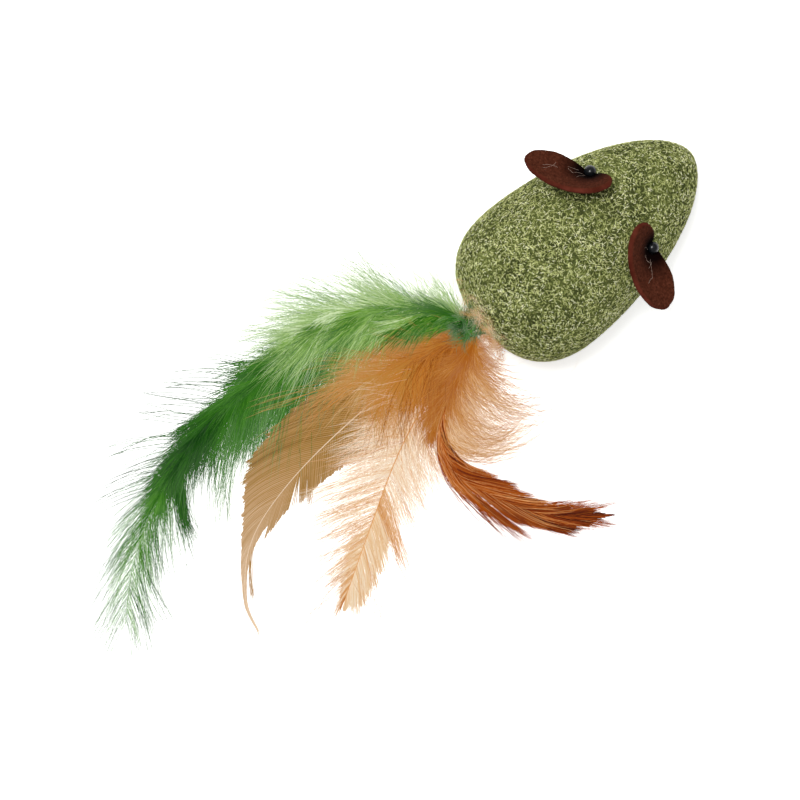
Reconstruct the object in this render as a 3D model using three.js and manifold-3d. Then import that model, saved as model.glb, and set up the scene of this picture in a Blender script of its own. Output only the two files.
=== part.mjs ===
// Catnip mouse: a pressed catnip body with two felt ears, two stemmed bead eyes and a tail of six feathers.
// Millimetres. +X points to the nose, +Y to the mouse's left, +Z up. The origin is the centre of the flat belly.
import * as THREE from 'three';
import { mergeVertices } from 'three/addons/utils/BufferGeometryUtils.js';
import Module from 'manifold-3d';

const wasm = await Module();
wasm.setup();

// Driving dimensions: the pressed body
const bodyLength = 60;
const bodyWidth = 37;
const bodyHeight = 32.5;
const bellyCut = 2.5; // how much of the round belly is pressed flat
const bellyCentre = 22; // from the tail end to the middle of the flat belly
const widestFromTail = 18;
const noseDrop = 3.5; // the nose lies this much lower than the tail end
const tailBluntness = 2.5; // superellipse powers of the two ends
const noseBluntness = 1.8;

// Driving dimensions: felt ears, measured square to the pin that holds each one
const earLength = 20.8;
const earHeight = 12;
const feltThickness = 1.6;
const earFromNose = 21.2;
const earAngle = 37.5; // degrees round the body from the top line to the pin
const earOut = 3.2; // from the pin to the ear's middle, outward and back
const earUp = 2.1; // from the pin to the ear's middle, up and back
const earSweep = 34; // degrees that the ear is swept back from straight out
const cupSlope = 0.7; // rise of the cup's wall, away from the pin
const cupRound = 2.5; // how far the round bottom of the cup reaches

// Driving dimensions: bead eyes with a ribbed stem
const eyeDiameter = 2.8;
const eyeDome = 1.5; // the dome's height above its rim
const stemDiameter = 1.6;
const stemLength = 8;
const stemRibs = 2;
const stemRibHeight = 0.22;
const eyeHole = 4.4;
const eyeHoleDepth = 7.5;

// Driving dimensions: the tail socket, its glue and the quills in it
const socketBore = 12.5;
const socketDepth = 14;
const quillDiameter = 1.3;
const quillBore = 0.6;
const quillLength = 13;
const quillColumns = 1.8; // between the two columns of quills
const quillProud = 0.6; // how far the quills stand out of the body
const shaftDiameter = 1.1; // of a feather's shaft, where it leaves its quill
const shaftTip = 0.5;
const layerGap = 0.4; // free height between one feather's root and the next
const layerSpread = 0.004; // how much the layers fan apart, per mm
const tailDroop = 7; // how far the tail sinks over its length
const tailReach = 106; // of the longest feather, behind the body
const barbThickness = 0.5;

const gap = 0.3; // between pieces that seat on each other
const degree = Math.PI / 180;

// Turns a closed geometry into a solid that can be joined and cut.
function solidOf(geometry) {
  const bare = geometry.index ? geometry.toNonIndexed() : geometry.clone();
  for (const name of Object.keys(bare.attributes)) if (name !== 'position') bare.deleteAttribute(name);
  const merged = mergeVertices(bare, 1e-4);
  return new wasm.Manifold(
    new wasm.Mesh({
      numProp: 3,
      vertProperties: merged.attributes.position.array,
      triVerts: new Uint32Array(merged.index.array),
    }),
  );
}

// Gives a solid's faces back as a geometry.
function geometryOf(solid) {
  const mesh = solid.getMesh();
  const geometry = new THREE.BufferGeometry();
  geometry.setAttribute('position', new THREE.BufferAttribute(mesh.vertProperties, 3));
  geometry.setIndex(new THREE.BufferAttribute(mesh.triVerts, 1));
  geometry.computeVertexNormals();
  return geometry;
}

// Moves each vertex of a geometry to where a function of it says.
function reshape(geometry, place) {
  const position = geometry.attributes.position;
  const vertex = new THREE.Vector3();
  for (let i = 0; i < position.count; i++) {
    vertex.fromBufferAttribute(position, i);
    const moved = place(vertex);
    position.setXYZ(i, moved.x, moved.y, moved.z);
  }
  return geometry;
}

// A round solid along +Y from a closed profile of [radius, height] pairs, carried to a point and turned to an axis.
function turned(profile, sides, point, axis) {
  const outline = profile.map(([radius, height]) => new THREE.Vector2(radius, height));
  const geometry = new THREE.LatheGeometry(outline, sides);
  const turn = new THREE.Quaternion().setFromUnitVectors(new THREE.Vector3(0, 1, 0), axis);
  geometry.applyQuaternion(turn);
  geometry.translate(point.x, point.y, point.z);
  return geometry;
}

// The body's surface is an egg: a superellipse at each end, an ellipse across, and a nose that drops.
const tailX = -bellyCentre;
const noseLength = bodyLength - widestFromTail;
const halfHeight = (bodyHeight + bellyCut) / 2;
const axisHeight = bodyHeight - halfHeight; // the middle of the body's tail end above the floor

// A point of the surface: along runs from -1 at the tail to 1 at the nose, and round is the angle from the top.
function bodyPoint(along, radius, round) {
  const tailward = along < 0;
  const power = tailward ? tailBluntness : noseBluntness;
  const reach = (tailward ? widestFromTail : noseLength) * Math.pow(Math.abs(along), 2 / power);
  const profile = Math.pow(radius, 2 / power);
  const drop = tailward ? 0 : noseDrop * Math.pow(reach / noseLength, 2);
  return new THREE.Vector3(
    tailX + widestFromTail + Math.sign(along) * reach,
    (bodyWidth / 2) * profile * Math.sin(round),
    axisHeight - drop + halfHeight * profile * Math.cos(round),
  );
}

// The same surface, by the distance behind the nose, for the places of the ears.
function bodyPointBehindNose(distance, round) {
  const share = (noseLength - distance) / noseLength;
  const along = Math.pow(Math.max(share, 0), noseBluntness / 2);
  return bodyPoint(along, Math.sqrt(1 - along * along), round);
}

// The outward direction of the surface there, from its two tangents.
function bodyNormal(distance, round) {
  const step = 0.01;
  const lengthways = bodyPointBehindNose(distance - step, round).sub(bodyPointBehindNose(distance + step, round));
  const across = bodyPointBehindNose(distance, round + step).sub(bodyPointBehindNose(distance, round - step));
  return lengthways.cross(across).normalize();
}

// The seat of one ear and its eye. The pin stands square to the body there, side 1 is left and -1 is right.
function earSeat(side) {
  const round = side * earAngle * degree;
  const point = bodyPointBehindNose(earFromNose, round);
  const axis = bodyNormal(earFromNose, round);
  if (axis.z < 0) axis.negate();
  return { side, point, axis };
}

// The egg, cut flat at the belly, with the tail socket and a hole under each eye.
function catnipBody(seats) {
  const egg = reshape(new THREE.SphereGeometry(1, 36, 28), (vertex) => {
    const radius = Math.hypot(vertex.x, vertex.z);
    return bodyPoint(vertex.y, radius, Math.atan2(-vertex.x, vertex.z));
  });
  const floor = new THREE.BoxGeometry(2 * bodyLength, 2 * bodyWidth, bodyHeight);
  floor.translate(0, 0, -bodyHeight / 2);
  const cuts = [floor, drill(socketBore, socketDepth, new THREE.Vector3(tailX, 0, axisHeight), backward, 32)];
  for (const seat of seats) cuts.push(drill(eyeHole, eyeHoleDepth, seat.point, seat.axis, 16));
  return geometryOf(cuts.reduce((body, cut) => body.subtract(solidOf(cut)), solidOf(egg)));
}

// A blind hole's tool: it starts outside the surface and ends at the depth below the point.
const backward = new THREE.Vector3(-1, 0, 0);
function drill(diameter, depth, point, outward, sides) {
  const radius = diameter / 2;
  const start = diameter;
  return turned([[0, -depth], [radius, -depth], [radius, start], [0, start]], sides, point, outward);
}

// The cup's section, which is the same all round the pin: flat at the pin and rising ever more evenly.
// A reach from the pin along it, and a height square to its lower face, give a radius from the pin and a rise.
function cupSection(reach, height) {
  const curve = Math.hypot(reach, cupRound);
  const steepness = (cupSlope * reach) / curve;
  const lean = height / Math.hypot(1, steepness);
  return [reach - lean * steepness, gap + cupSlope * (curve - cupRound) + lean];
}

// A felt oval pressed to a cup round its pin. It slides in its own surface when it is turned.
function feltEar({ side, point, axis }) {
  const sweep = (90 + earSweep) * degree;
  const level = new THREE.Vector3(Math.cos(sweep), side * Math.sin(sweep), 0);
  const out = level.projectOnPlane(axis).normalize(); // square to the pin, outward and back
  const up = new THREE.Vector3().crossVectors(axis, out).multiplyScalar(side); // square to both, up and back
  const rim = 0.35;
  const rings = [0.33, 0.66, 1 - (2 * rim) / earHeight];
  const outline = [[0, 0], ...rings.map((ring) => [ring, 0]), [1, rim], [1, feltThickness - rim]];
  outline.push(...rings.reverse().map((ring) => [ring, feltThickness]), [0, feltThickness]);
  const disc = new THREE.LatheGeometry(outline.map(([radius, height]) => new THREE.Vector2(radius, height)), 32);
  const ear = reshape(disc, (vertex) => {
    const outward = earOut + (vertex.x * earLength) / 2;
    const upward = earUp - (side * vertex.z * earHeight) / 2;
    const reach = Math.hypot(outward, upward);
    const [radius, rise] = cupSection(reach, vertex.y);
    const shrink = radius / reach;
    const place = point.clone().addScaledVector(axis, rise);
    return place.addScaledVector(out, outward * shrink).addScaledVector(up, upward * shrink);
  });
  const hole = drill(stemDiameter + 2 * gap, feltThickness, point, axis, 12);
  return geometryOf(solidOf(ear).subtract(solidOf(hole)));
}

// A bead eye: a dome whose foot follows the felt's cup, on a ribbed stem that is glued in the body.
function beadEye({ point, axis }) {
  const head = eyeDiameter / 2;
  const stem = stemDiameter / 2;
  const under = cupSection(0, feltThickness + gap)[1]; // the top of the stem
  const foot = cupSection(head * 1.4, feltThickness + gap);
  const profile = [[0, under - stemLength], [stem * 0.6, under - stemLength]];
  const ribPitch = (stemLength - under - stem) / (stemRibs + 1);
  for (let rib = 1; rib <= stemRibs; rib++) {
    const height = under - stemLength + rib * ribPitch;
    profile.push([stem, height - ribPitch / 2], [stem + stemRibHeight, height], [stem, height + ribPitch / 6]);
  }
  profile.push([stem, under], foot);
  const steps = 5;
  for (let step = 0; step < steps; step++) {
    const turn = (step / steps) * (Math.PI / 2);
    profile.push([head * Math.cos(turn), foot[1] + 0.2 + (eyeDome - 0.2) * Math.sin(turn)]);
  }
  profile.push([0, foot[1] + eyeDome]);
  return turned(profile, 18, point, axis);
}

// The glue round an eye's stem: a thick ring that fills the hole below the surface.
function eyeGlue({ point, axis }) {
  const inner = stemDiameter / 2 + stemRibHeight + gap;
  const outer = eyeHole / 2 - gap;
  const floor = -eyeHoleDepth + gap;
  const top = -2 * gap;
  const bottom = feltThickness + gap - stemLength; // a gap under the stem's end
  const profile = [[0, floor], [outer, floor], [outer, top], [inner, top], [inner, bottom], [0, bottom]];
  return turned(profile, 16, point, axis);
}

// The feathers, from the lowest layer to the highest. A path is the shaft's line seen from above:
// points behind the body's tail end and to the mouse's left. The first point of every path is its quill's mouth.
// A side's barbs start and end at distances along the shaft. They swell from the root and fall to the tip's length.
const feathers = [
  {
    name: 'green_long_feather',
    colour: 0x3f7a35,
    path: [[7, 8], [20, 17], [40, 21.6], [60, 21.4], [78, 16.2], [93, 7.8], [104, -2.5]],
    left: { from: 14, to: 104, count: 15, length: 15, tip: 13, angle: 36, width: 2.8 },
    right: { from: 17, to: 106, count: 15, length: 15, tip: 12, angle: 36, width: 2.8 },
  },
  {
    name: 'tan_feather',
    colour: 0xb08a55,
    path: [[21, 1.8], [45, 1.1], [62, -1.9], [72, -6.6], [79, -14.5], [81, -21]],
    left: { from: 25, to: 76, count: 13, length: 11, tip: 5, angle: 34, width: 2.8 },
    right: { from: 27, to: 72, count: 11, length: 12, tip: 4, angle: 44, width: 3.4 },
  },
  {
    name: 'peach_feather',
    colour: 0xe0bd97,
    path: [[12.5, -2.7], [31, -10], [48, -19.7], [62, -28.2]],
    left: { from: 12, to: 62, count: 11, length: 14, tip: 5, angle: 42, width: 2.7 },
    right: { from: 14, to: 64, count: 11, length: 14, tip: 8, angle: 36, width: 3 },
  },
  {
    name: 'orange_plume',
    colour: 0xb67834,
    path: [[10, 1.9], [20, 4.4], [29, 6.6], [39, 7.2]],
    left: { from: 9, to: 35, count: 8, length: 12, tip: 8, angle: 42, width: 2.6 },
    right: { from: 11, to: 37, count: 8, length: 14, tip: 8, angle: 44, width: 2.6 },
  },
  {
    name: 'green_short_plume',
    colour: 0x7f9f55,
    path: [[5, 7], [10, 12.5], [18, 18.5], [28, 22.8], [37, 24.4]],
    left: { from: 10, to: 41, count: 9, length: 12, tip: 9, angle: 40, width: 2.6 },
    right: { from: 17, to: 43, count: 7, length: 11, tip: 9, angle: 34, width: 2.6 },
  },
  {
    name: 'rust_hackle',
    colour: 0x8f4a22,
    path: [[10, -5.1], [21.5, -12], [25, -19.5], [23.5, -27.5], [16, -41], [4, -51]],
    left: { from: 9, to: 66, count: 12, length: 17, tip: 6, angle: 40, width: 2.6 },
    right: { from: 22, to: 68, count: 10, length: 10, tip: 6, angle: 22, width: 2.4 },
  },
];

const layerPitch = shaftDiameter + layerGap;
const exitX = tailX - quillProud - gap - shaftDiameter / 2;

// Where a feather's shaft leaves its quill, which is also where it bends when it is pushed aside.
function exitOf(layer) {
  const height = (layer - (feathers.length - 1) / 2) * layerPitch;
  const column = (layer % 2 ? -1 : 1) * (quillColumns / 2);
  return new THREE.Vector3(exitX, column, axisHeight + height);
}

// Each feather lies in its own shallow cone about its exit, so it can swing past its neighbours.
function layerHeight(exit, x, y) {
  const reach = Math.hypot(x - exit.x, y - exit.y);
  const offset = (exit.z - axisHeight) * (1 + layerSpread * reach);
  return axisHeight + offset - tailDroop * Math.pow(reach / tailReach, 2);
}

// A closed tapering bar along plan points, laid on its feather's layer. Widths and depths go with the points.
function bar(exit, points, section, widths, depths) {
  const last = points.length - 1;
  const vertices = [];
  points.forEach((point, i) => {
    const before = points[Math.max(i - 1, 0)];
    const after = points[Math.min(i + 1, last)];
    const across = new THREE.Vector2(before.y - after.y, after.x - before.x).normalize();
    for (const [side, level] of section) {
      const x = point.x + (across.x * side * widths[i]) / 2;
      const y = point.y + (across.y * side * widths[i]) / 2;
      vertices.push(x, y, layerHeight(exit, x, y) + (level * depths[i]) / 2);
    }
  });
  const corners = section.length;
  const faces = [];
  for (let i = 0; i < last; i++) {
    for (let c = 0; c < corners; c++) {
      const here = i * corners + c;
      const beside = i * corners + ((c + 1) % corners);
      faces.push(here, beside, beside + corners, here, beside + corners, here + corners);
    }
  }
  for (let c = 1; c < corners - 1; c++) {
    faces.push(0, c + 1, c, last * corners, last * corners + c, last * corners + c + 1);
  }
  const geometry = new THREE.BufferGeometry();
  geometry.setAttribute('position', new THREE.Float32BufferAttribute(vertices, 3));
  geometry.setIndex(faces);
  return geometry;
}

const roundSection = [[1, 0], [0.5, 0.87], [-0.5, 0.87], [-1, 0], [-0.5, -0.87], [0.5, -0.87]];
const flatSection = [[1, -1], [1, 1], [-1, 1], [-1, -1]];

// A feather's shaft: a rounded root, where it turns against its quill, and an even taper to the tip.
function shaft(line, exit) {
  const steps = 15;
  const root = shaftDiameter / 2;
  const start = line.getPointAt(0).addScaledVector(line.getTangentAt(0), -root * 0.9);
  const points = [start, ...line.getSpacedPoints(steps)];
  const widths = points.map((_, i) => THREE.MathUtils.lerp(shaftDiameter, shaftTip, Math.max(i - 1, 0) / steps));
  widths[0] = root * 0.8;
  return bar(exit, points, roundSection, widths, widths);
}

// One side's barbs: flat blades that leave the shaft at an angle and bend towards its tip.
// Every other blade is thinner, and each fourth one shorter, as clumped barbs lie.
function barbs(line, exit, edge, side) {
  const bends = [0, 1, 2];
  const blades = [];
  for (let k = 0; k < edge.count; k++) {
    const share = k / (edge.count - 1);
    const place = Math.min((edge.from + share * (edge.to - edge.from)) / line.getLength(), 1);
    const swell = Math.pow(Math.sin(Math.PI * (0.25 + 0.6 * share)), 0.6);
    const clump = k % 4 === 3 ? 0.82 : 1;
    const length = clump * THREE.MathUtils.lerp(edge.length * swell, edge.tip, Math.pow(share, 3));
    const along = line.getTangentAt(place).angle();
    const points = [line.getPointAt(place)];
    for (const bend of bends) {
      const heading = along + side * edge.angle * degree * (1.15 - 0.25 * bend);
      const step = new THREE.Vector2(Math.cos(heading), Math.sin(heading)).multiplyScalar(length / bends.length);
      points.push(points.at(-1).clone().add(step));
    }
    const depth = barbThickness * (k % 2 ? 1 : 0.8);
    const widths = [0.25, 0.95, 0.9, 0.12].map((part) => part * edge.width);
    blades.push(bar(exit, points, flatSection, widths, points.map(() => depth)));
  }
  return blades;
}

// A whole feather as one piece: its shaft with both rows of barbs grown onto it.
function featherVane({ path, left, right }, exit) {
  const points = path.map(([behind, across]) => new THREE.Vector2(tailX - behind, across));
  const line = new THREE.SplineCurve([new THREE.Vector2(exit.x, exit.y), ...points]);
  const pieces = [shaft(line, exit), ...barbs(line, exit, left, 1), ...barbs(line, exit, right, -1)];
  return geometryOf(wasm.Manifold.union(pieces.map(solidOf)));
}

// A feather's quill: the hollow stub below its barbs, which is glued in the body and doesn't move.
function quill(exit) {
  const outer = quillDiameter / 2;
  const bore = quillBore / 2;
  const profile = [[bore, 0], [bore, -quillLength + 1], [0, -quillLength + 1], [0, -quillLength]];
  profile.push([outer * 0.6, -quillLength], [outer, -quillLength + 1], [outer, 0], [bore, 0]);
  const mouth = new THREE.Vector3(tailX - quillProud, exit.y, exit.z);
  return turned(profile, 10, mouth, backward);
}

// The glue plug that fills the tail socket, with a hole for each quill.
function tailGlue(exits) {
  const radius = socketBore / 2 - gap;
  const mouth = new THREE.Vector3(tailX, 0, axisHeight);
  const outline = [[0, gap - socketDepth], [radius, gap - socketDepth], [radius, -1], [radius - 1, -gap], [0, -gap]];
  let plug = solidOf(turned(outline, 32, mouth, backward));
  for (const exit of exits) {
    mouth.set(tailX, exit.y, exit.z);
    plug = plug.subtract(solidOf(drill(quillDiameter + 2 * gap, quillLength - quillProud + gap, mouth, backward, 10)));
  }
  return geometryOf(plug);
}

const materials = {
  catnip: new THREE.MeshStandardMaterial({ color: 0x7d8450, roughness: 0.95, metalness: 0 }),
  felt: new THREE.MeshStandardMaterial({ color: 0x4c281b, roughness: 1, metalness: 0 }),
  bead: new THREE.MeshStandardMaterial({ color: 0x101214, roughness: 0.15, metalness: 0 }),
  glue: new THREE.MeshStandardMaterial({ color: 0xe8e2d0, roughness: 0.4, metalness: 0 }),
  quill: new THREE.MeshStandardMaterial({ color: 0xe6d3b3, roughness: 0.5, metalness: 0 }),
};

const mouse = new THREE.Group();
function add(name, geometry, material) {
  const mesh = new THREE.Mesh(geometry, material);
  mesh.name = name;
  mouse.add(mesh);
}

const seats = [earSeat(1), earSeat(-1)];
add('catnip_body', catnipBody(seats), materials.catnip);
for (const seat of seats) {
  const hand = seat.side > 0 ? 'left' : 'right';
  add(`ear_${hand}`, feltEar(seat), materials.felt);
  add(`eye_${hand}`, beadEye(seat), materials.bead);
  add(`eye_glue_${hand}`, eyeGlue(seat), materials.glue);
}
const exits = feathers.map((_, layer) => exitOf(layer));
add('tail_glue', tailGlue(exits), materials.glue);
feathers.forEach((feather, layer) => {
  const vane = new THREE.MeshStandardMaterial({ color: feather.colour, roughness: 0.8, metalness: 0 });
  add(feather.name, featherVane(feather, exits[layer]), vane);
  add(`${feather.name}_quill`, quill(exits[layer]), materials.quill);
});

export default mouse;
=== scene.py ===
from functools import partial

import bpy
import numpy as np
from mathutils import Matrix


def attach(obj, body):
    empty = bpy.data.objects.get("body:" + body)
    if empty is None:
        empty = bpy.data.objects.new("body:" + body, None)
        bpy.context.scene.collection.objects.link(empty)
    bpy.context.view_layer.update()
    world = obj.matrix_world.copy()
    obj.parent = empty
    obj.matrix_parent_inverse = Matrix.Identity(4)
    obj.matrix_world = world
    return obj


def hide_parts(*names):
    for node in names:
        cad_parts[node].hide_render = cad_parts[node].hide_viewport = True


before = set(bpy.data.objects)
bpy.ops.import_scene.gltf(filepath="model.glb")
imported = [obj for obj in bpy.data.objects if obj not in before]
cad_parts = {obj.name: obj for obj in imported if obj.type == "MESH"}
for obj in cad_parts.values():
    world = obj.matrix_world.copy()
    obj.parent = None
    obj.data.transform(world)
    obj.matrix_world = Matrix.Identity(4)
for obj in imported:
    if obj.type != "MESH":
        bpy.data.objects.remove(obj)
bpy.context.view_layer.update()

# A cat's toy mouse, in the order in which it is put together: the pressed body, the glue and quills in it,
# the six feathers of the tail, then the ears and eyes. Sizes are millimetres until a mesh is made.
MM = 0.001


# The body. Dried catnip leaf is chopped fine, wetted and pressed in a mould to an egg with a flat belly.
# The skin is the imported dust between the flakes: a closed egg with a fine grain pressed into it.
BODY_WIDTH = 37
BODY_HEIGHT = 32.5
BELLY_CUT = 2.5
TAIL_X = -22
TAIL_REACH = 18  # from the tail end to the widest section
NOSE_REACH = 42
TAIL_BLUNTNESS = 2.5
NOSE_BLUNTNESS = 1.8
NOSE_DROP = 3.5
HALF_HEIGHT = (BODY_HEIGHT + BELLY_CUT) / 2
AXIS_Z = BODY_HEIGHT - HALF_HEIGHT
SKIN_PITS = ((0.13, 0.8, 1), (0.06, 0.45, 2))  # depth, size and seed of the coarse and the fine ones
SKIN_SINK = 0.12  # under the mould's surface, so that the flakes stand out of the skin
chance = np.random.default_rng(5)


def egg(polar, around):
    """Points of the body's surface. polar runs from 0 at the tail to pi at the nose, around from the top.
    Each end is a superellipse, each section an ellipse, and the nose drops with the square of its reach."""
    cosine = -np.cos(polar)
    sine = np.abs(np.sin(polar))
    tailward = cosine < 0
    power = np.where(tailward, TAIL_BLUNTNESS, NOSE_BLUNTNESS)
    reach = np.where(tailward, TAIL_REACH, NOSE_REACH) * np.abs(cosine) ** (2 / power)
    profile = sine ** (2 / power)
    drop = np.where(tailward, 0, NOSE_DROP * (reach / NOSE_REACH) ** 2)
    x = TAIL_X + TAIL_REACH + np.sign(cosine) * reach
    y = BODY_WIDTH / 2 * profile * np.sin(around)
    z = AXIS_Z - drop + HALF_HEIGHT * profile * np.cos(around)
    return np.stack([x, y, z], -1)


def unit(vectors):
    """Vectors at length one."""
    return vectors / np.maximum(np.linalg.norm(vectors, axis=-1, keepdims=True), 1e-9)


def egg_frame(polar, around, step=0.004):
    """The surface's point and its outward direction, from the cross product of its two tangents."""
    lengthways = egg(polar + step, around) - egg(polar - step, around)
    across = egg(polar, around + step) - egg(polar, around - step)
    return egg(polar, around), unit(np.cross(lengthways, across))


def grain(points, size, seed):
    """Smooth noise from -1 to 1 with bumps of that size: random values on a lattice, blended between."""
    values = np.random.default_rng(seed).uniform(-1, 1, 4096)
    cell = np.floor(points / size).astype(np.int64)
    part = points / size - cell
    part = part * part * (3 - 2 * part)
    total = np.zeros(points.shape[:-1])
    for corner in np.ndindex(2, 2, 2):
        at = cell + corner
        key = (at[..., 0] * 73 + at[..., 1] * 179 + at[..., 2] * 283 + at[..., 0] * at[..., 1] * 31) % 4096
        weight = np.prod(np.where(corner, part, 1 - part), -1)
        total += weight * values[key]
    return total


def linear(hex_colour):
    """A colour written as sRGB hex, as linear red, green, blue and alpha."""
    channels = np.array([int(hex_colour[i : i + 2], 16) / 255 for i in (0, 2, 4)])
    channels = np.where(channels > 0.04045, ((channels + 0.055) / 1.055) ** 2.4, channels / 12.92)
    return (*channels.tolist(), 1.0)


def add_node(tree, kind, links=None, **settings):
    """One shader node. Settings are its own properties or its inputs' values, and links feed its inputs."""
    made = tree.nodes.new(kind)
    for name, value in settings.items():
        if hasattr(made, name):
            setattr(made, name, value)
        else:
            made.inputs[name.replace("_", " ")].default_value = value
    for name, source in (links or {}).items():
        tree.links.new(source, made.inputs[name])
    return made


def ramp(tree, factor, stops):
    """A colour ramp fed by a factor, with stops of {place: hex colour}."""
    made = add_node(tree, "ShaderNodeValToRGB", {"Fac": factor})
    elements = made.color_ramp.elements
    while len(elements) < len(stops):
        elements.new(0.5)
    for element, (place, colour) in zip(elements, stops.items()):
        element.position = place
        element.color = linear(colour)
    return made.outputs["Color"]


def new_material(name, **numbers):
    """A material, its nodes and its Principled shader, with uniform numbers on the shader's own sockets."""
    made = bpy.data.materials.new(name)
    made.use_nodes = True
    shader = made.node_tree.nodes["Principled BSDF"]
    for socket, number in numbers.items():
        shader.inputs[socket.replace("_", " ")].default_value = number
    return made, made.node_tree, shader


def add_object(name, data):
    """A new object in the scene."""
    made = bpy.data.objects.new(name, data)
    bpy.context.scene.collection.objects.link(made)
    return made


def place_piece(name, vertices, faces, material, body, replaced=(), smooth=True, normals=None, **marks):
    """A closed piece in the row frame, from vertices in mm and faces as arrays of equal-sized rows.
    Normals, where given, and marks, the numbers that its material reads, have a row for each vertex."""
    mesh = bpy.data.meshes.new(name)
    vertices = np.asarray(vertices, np.float64).reshape(-1, 3)
    faces = [np.asarray(rows, np.int32) for rows in faces]
    mesh.vertices.add(len(vertices))
    mesh.vertices.foreach_set("co", (vertices * MM).astype(np.float32).ravel())
    corners = np.concatenate([rows.ravel() for rows in faces])
    sizes = np.concatenate([np.full(len(rows), rows.shape[1], np.int32) for rows in faces])
    mesh.loops.add(len(corners))
    mesh.loops.foreach_set("vertex_index", corners)
    mesh.polygons.add(len(sizes))
    mesh.polygons.foreach_set("loop_start", (np.cumsum(sizes) - sizes).astype(np.int32))
    mesh.polygons.foreach_set("use_smooth", np.full(len(sizes), smooth))
    mesh.update(calc_edges=True)
    if normals is not None:
        mesh.normals_split_custom_set_from_vertices(normals)
    for mark, values in marks.items():
        layer = mesh.attributes.new(mark, "FLOAT", "POINT")
        layer.data.foreach_set("value", np.asarray(values, np.float32).ravel())
    mesh.materials.append(material)
    piece = add_object(name, mesh)
    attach(piece, body)
    if replaced:
        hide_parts(*replaced)
    return piece


def closed_grid(rows, columns, turned=False):
    """Faces of a surface whose first and last points are poles, with rings of points between them. They are
    turned over where the rings run the other way round."""
    ring = np.arange(columns)
    after = (ring + 1) % columns
    start = 1 + np.arange(rows - 1)[:, None] * columns
    quads = np.stack([start + ring, start + columns + ring, start + columns + after, start + after], -1)
    last = 1 + rows * columns
    first_fan = np.stack([np.zeros(columns, int), 1 + ring, 1 + after], -1)
    last_fan = np.stack([np.full(columns, last), last - columns + after, last - columns + ring], -1)
    faces = [quads.reshape(-1, 4), first_fan, last_fan]
    return [face[:, ::-1] for face in faces] if turned else faces


# Pressed leaf dust: matt olive with no gloss at all. It is darkest where its fine bump sinks, which is
# painted shade in the pits between the flakes.
leaf_dust, tree, shader = new_material("pressed_catnip_dust", Roughness=0.95, Specular_IOR_Level=0.15)
place = add_node(tree, "ShaderNodeTexCoord").outputs["Object"]
speckle = add_node(tree, "ShaderNodeTexNoise", {"Vector": place}, Scale=1500.0, Detail=3.0, Roughness=0.6)
patches = add_node(tree, "ShaderNodeTexNoise", {"Vector": place}, Scale=160.0, Detail=2.0)
mixed = add_node(tree, "ShaderNodeMath", {0: speckle.outputs["Fac"], 1: patches.outputs["Fac"]},
                 operation="MULTIPLY")
# Painted shade: the speckle that makes the bump also darkens the dust where the bump sinks.
dust_and_pit_shade = ramp(tree, mixed.outputs[0], {0.08: "2f3418", 0.24: "474e27", 0.42: "69713c"})
bump = add_node(tree, "ShaderNodeBump", {"Height": speckle.outputs["Fac"]}, Strength=0.6, Distance=0.0002)
tree.links.new(dust_and_pit_shade, shader.inputs["Base Color"])
tree.links.new(bump.outputs["Normal"], shader.inputs["Normal"])

rings, spokes = 190, 300
polar = np.linspace(0, np.pi, rings + 2)[1:-1, None] + np.zeros(spokes)
around = np.linspace(0, 2 * np.pi, spokes, endpoint=False) + np.zeros((rings, 1))
skin, outward = egg_frame(polar, around)
pits = sum(depth * grain(skin, size, seed) for depth, size, seed in SKIN_PITS)
skin = skin + outward * (pits - SKIN_SINK)[..., None]
poles = egg(np.array([0.0, np.pi]), np.zeros(2))
skin = np.concatenate([poles[:1], skin.reshape(-1, 3), poles[1:]])
skin[:, 2] = np.maximum(skin[:, 2], 0)
place_piece("catnip_skin", skin, closed_grid(rings, spokes), leaf_dust, "mouse", ["catnip_body"])


# The leaf flakes that show on the body: needles of leaf and stalk about a millimetre long, pressed in at
# all angles. Each is a thin closed lozenge, sunk in the skin, with a shade of its own from olive to straw.
FLAKE_LENGTH = (0.45, 1.2)
FLAKE_WIDTH = (0.11, 0.23)
FLAKE_DEPTH = 0.14
FLAKE_PITCH = 0.09  # typical slope of its length out of the surface
FLAKE_ROLL = 0.25  # typical slope of its width

# Dried leaf and stalk: matt, from dark olive through sage to pale straw, and a little translucent.
leaf_flake, tree, shader = new_material("pressed_catnip_flakes", Roughness=0.8, Specular_IOR_Level=0.25)
tint = add_node(tree, "ShaderNodeAttribute", attribute_name="tint").outputs["Fac"]
leaf_colours = {0.0: "505826", 0.3: "8f9852", 0.6: "c0c67c", 0.85: "e4e6a8", 1.0: "f6f6cc"}
tree.links.new(ramp(tree, tint, leaf_colours), shader.inputs["Base Color"])


def scatter(count):
    """Places on the egg, spread evenly over its area, as polar and around angles."""
    rows, columns = 400, 300
    p = (np.arange(rows) + 0.5) / rows * np.pi
    a = (np.arange(columns) + 0.5) / columns * 2 * np.pi
    p, a = np.meshgrid(p, a, indexing="ij")
    step = 0.003
    patch = np.cross(egg(p + step, a) - egg(p - step, a), egg(p, a + step) - egg(p, a - step))
    share = np.cumsum(np.linalg.norm(patch, axis=-1).ravel())
    cell = np.searchsorted(share, chance.uniform(0, share[-1], count))
    p = (cell // columns + chance.uniform(0, 1, count)) / rows * np.pi
    a = (cell % columns + chance.uniform(0, 1, count)) / columns * 2 * np.pi
    return p, a


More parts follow.
